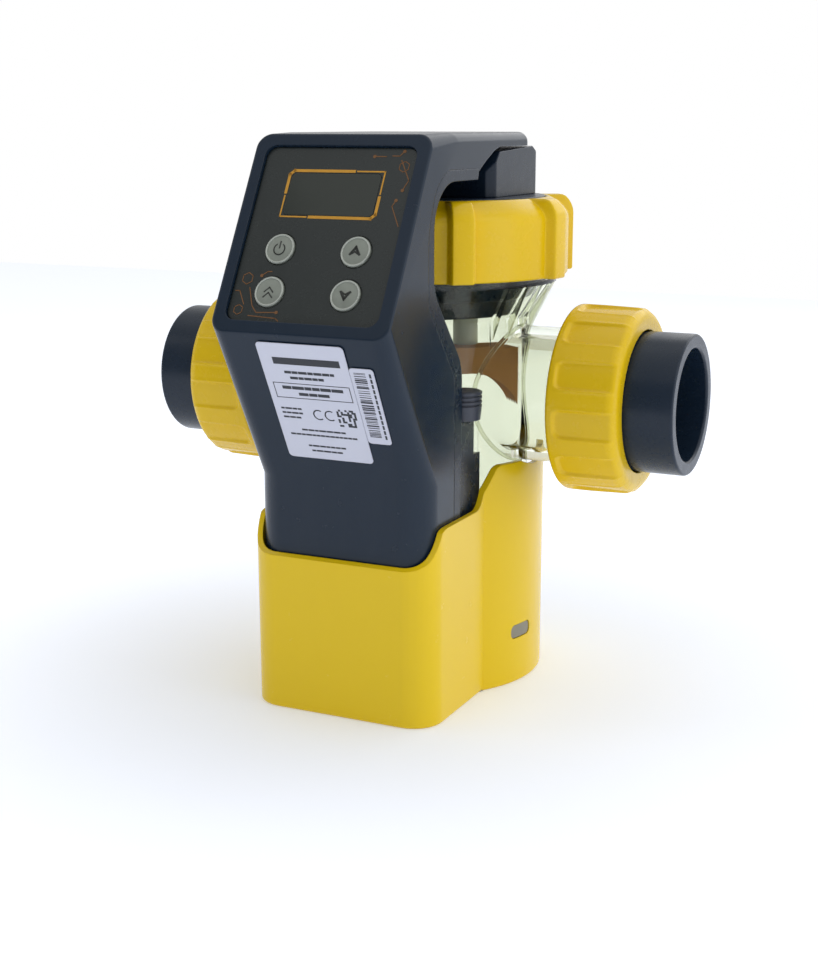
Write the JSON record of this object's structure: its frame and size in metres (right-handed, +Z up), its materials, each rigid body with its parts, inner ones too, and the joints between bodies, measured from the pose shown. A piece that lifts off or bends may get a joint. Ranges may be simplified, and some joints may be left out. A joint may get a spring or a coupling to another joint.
{
  "type": "salt chlorine generator",
  "caption": "Pool salt chlorinator: clear electrolysis cell between pipe unions under a threaded lock ring, with a keypad control unit, standing in a moulded cradle.",
  "frame": {"origin": "on the resting face, on the vertical axis of the electrolysis cell", "axes": "+Z up, -Y towards the keypad, +X towards the right-hand pipe seen from the keypad side"},
  "size_m": [0.26, 0.1954, 0.2537],
  "materials": {
    "cradle_yellow": "smooth moulded, slight gloss",
    "foot_rubber": "matt",
    "badge_grey": "satin",
    "cell_clear": "clear, polished",
    "housing_navy": "fine satin",
    "seal_rubber": "matt",
    "contact_brass": "bright",
    "titanium": "brushed",
    "plate_coating": "matt oxide coating",
    "spacer_white": "satin",
    "sleeve_frosted": "frosted, translucent",
    "comb_brown": "satin",
    "sensor_grey": "satin",
    "screw_steel": "zinc plated",
    "circuit_board": "solder resist",
    "component_dark": "satin",
    "heatsink_aluminium": "extruded",
    "gland_black": "satin",
    "keypad_dark": "fine textured film",
    "display_glass": "polished",
    "label_white": "printed film",
    "button_grey": "metallic lacquer",
    "pipe_dark": "satin pressure pipe plastic"
  },
  "bodies": {
    "cradle": {"base_cradle": "cradle_yellow", "base_feet": "foot_rubber", "base_badges": "badge_grey"},
    "unit": {"cell_body": "cell_clear", "cell_port_right": "cell_clear", "cell_port_left": "cell_clear", "electrode_head": "housing_navy", "head_oring": "seal_rubber", "terminal_cover": "housing_navy", "terminal_pins": "contact_brass", "electrode_studs": "titanium", "stud_sleeves": "sleeve_frosted", "electrode_plates": "plate_coating", "plate_spacers": "comb_brown", "flow_sensor": "sensor_grey", "port_oring_right": "seal_rubber", "port_oring_left": "seal_rubber", "controller_shell": "housing_navy", "controller_back": "housing_navy", "cover_screws": "screw_steel", "control_board": "circuit_board", "power_components": "component_dark", "heatsink": "heatsink_aluminium", "cable_gland": "gland_black", "gland_seal": "seal_rubber", "panel_gasket": "seal_rubber", "keypad_panel": "keypad_dark", "display_window": "display_glass", "lcd_module": "component_dark", "display_board": "circuit_board", "key_switches": "screw_steel", "rating_label": "label_white", "serial_label": "label_white"},
    "lock_slip_ring": {"slip_ring": "spacer_white"},
    "lock_ring": {"top_nut": "cradle_yellow"},
    "right_tail": {"tailpiece_right": "pipe_dark"},
    "right_nut": {"union_nut_right": "cradle_yellow"},
    "left_tail": {"tailpiece_left": "pipe_dark"},
    "left_nut": {"union_nut_left": "cradle_yellow"},
    "power_key": {"button_power": "button_grey"},
    "boost_key": {"button_boost": "button_grey"},
    "up_key": {"button_up": "button_grey"},
    "down_key": {"button_down": "button_grey"}
  },
  "joints": [
    {"name": "unit_lift", "type": "slide", "parent": "cradle", "child": "unit", "axis": [0, 0, 1], "range_m": [0, 0.11]},
    {"name": "lock_ring_rise", "type": "slide", "parent": "unit", "child": "lock_slip_ring", "axis": [0, 0, 1], "range_m": [0, 0.0076]},
    {"name": "lock_ring_turn", "type": "hinge", "parent": "lock_slip_ring", "child": "lock_ring", "pos_m": [0, 0, 0.205], "axis": [0, 0, 1], "range_deg": [0, 540]},
    {"name": "right_tail_out", "type": "slide", "parent": "unit", "child": "right_tail", "axis": [1, 0, 0], "range_m": [0, 0.0141]},
    {"name": "right_nut_turn", "type": "hinge", "parent": "right_tail", "child": "right_nut", "pos_m": [0.092, 0, 0.136], "axis": [1, 0, 0], "range_deg": [0, 1260]},
    {"name": "left_tail_out", "type": "slide", "parent": "unit", "child": "left_tail", "axis": [-1, 0, 0], "range_m": [0, 0.0141]},
    {"name": "left_nut_turn", "type": "hinge", "parent": "left_tail", "child": "left_nut", "pos_m": [-0.092, 0, 0.136], "axis": [-1, 0, 0], "range_deg": [0, 1260]},
    {"name": "power_press", "type": "slide", "parent": "unit", "child": "power_key", "axis": [0, 0.8725, -0.4886], "range_m": [0, 0.0006], "stiffness_N_per_m": 400},
    {"name": "boost_press", "type": "slide", "parent": "unit", "child": "boost_key", "axis": [0, 0.8725, -0.4886], "range_m": [0, 0.0006], "stiffness_N_per_m": 400},
    {"name": "up_press", "type": "slide", "parent": "unit", "child": "up_key", "axis": [0, 0.8725, -0.4886], "range_m": [0, 0.0006], "stiffness_N_per_m": 400},
    {"name": "down_press", "type": "slide", "parent": "unit", "child": "down_key", "axis": [0, 0.8725, -0.4886], "range_m": [0, 0.0006], "stiffness_N_per_m": 400}
  ],
  "couplings": [
    {"joint": "lock_ring_rise", "follows": "lock_ring_turn", "m_per_rad": 0.00079577},
    {"joint": "right_tail_out", "follows": "right_nut_turn", "m_per_rad": 0.00063662},
    {"joint": "left_tail_out", "follows": "left_nut_turn", "m_per_rad": 0.00063662}
  ]
}
